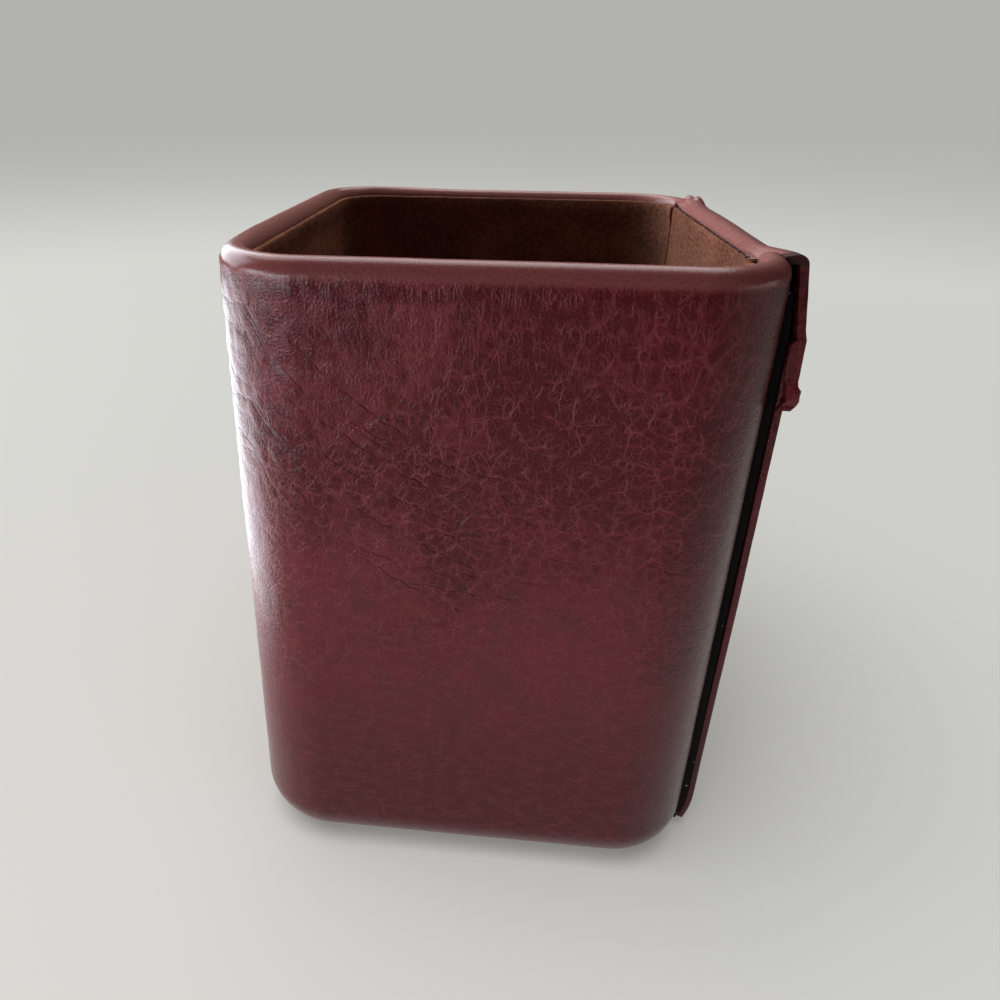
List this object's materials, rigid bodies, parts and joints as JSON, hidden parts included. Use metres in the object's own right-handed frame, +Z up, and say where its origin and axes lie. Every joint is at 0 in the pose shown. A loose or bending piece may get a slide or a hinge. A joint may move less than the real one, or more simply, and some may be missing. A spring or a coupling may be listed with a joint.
{
  "type": "pencil cup",
  "caption": "Leather-covered desk cup, open at the top, with round corners, a rolled rim, a suede lining and one flat side closed by a panel under a leather strip and saddle.",
  "frame": {"origin": "centre of the covered body in plan, on the table under the felt pad", "axes": "+Z up, +X across the width towards the side with the strip and saddle, +Y from the front to the back"},
  "size_m": [0.0817, 0.0896, 0.1051],
  "materials": {
    "burgundy_leather": "semi-gloss full grain",
    "brown_suede": "matt napped suede",
    "moulded_fibreboard": "matt",
    "black_board": "matt cut edge",
    "dark_felt": "matt felt"
  },
  "bodies": {
    "root": {"tub_core": "moulded_fibreboard", "outer_leather": "burgundy_leather", "wall_lining": "brown_suede", "panel_lining": "brown_suede", "floor_lining": "brown_suede", "closing_panel": "moulded_fibreboard", "seam_board": "black_board", "seam_facing": "burgundy_leather", "saddle": "burgundy_leather", "base_pad": "dark_felt"}
  },
  "joints": []
}
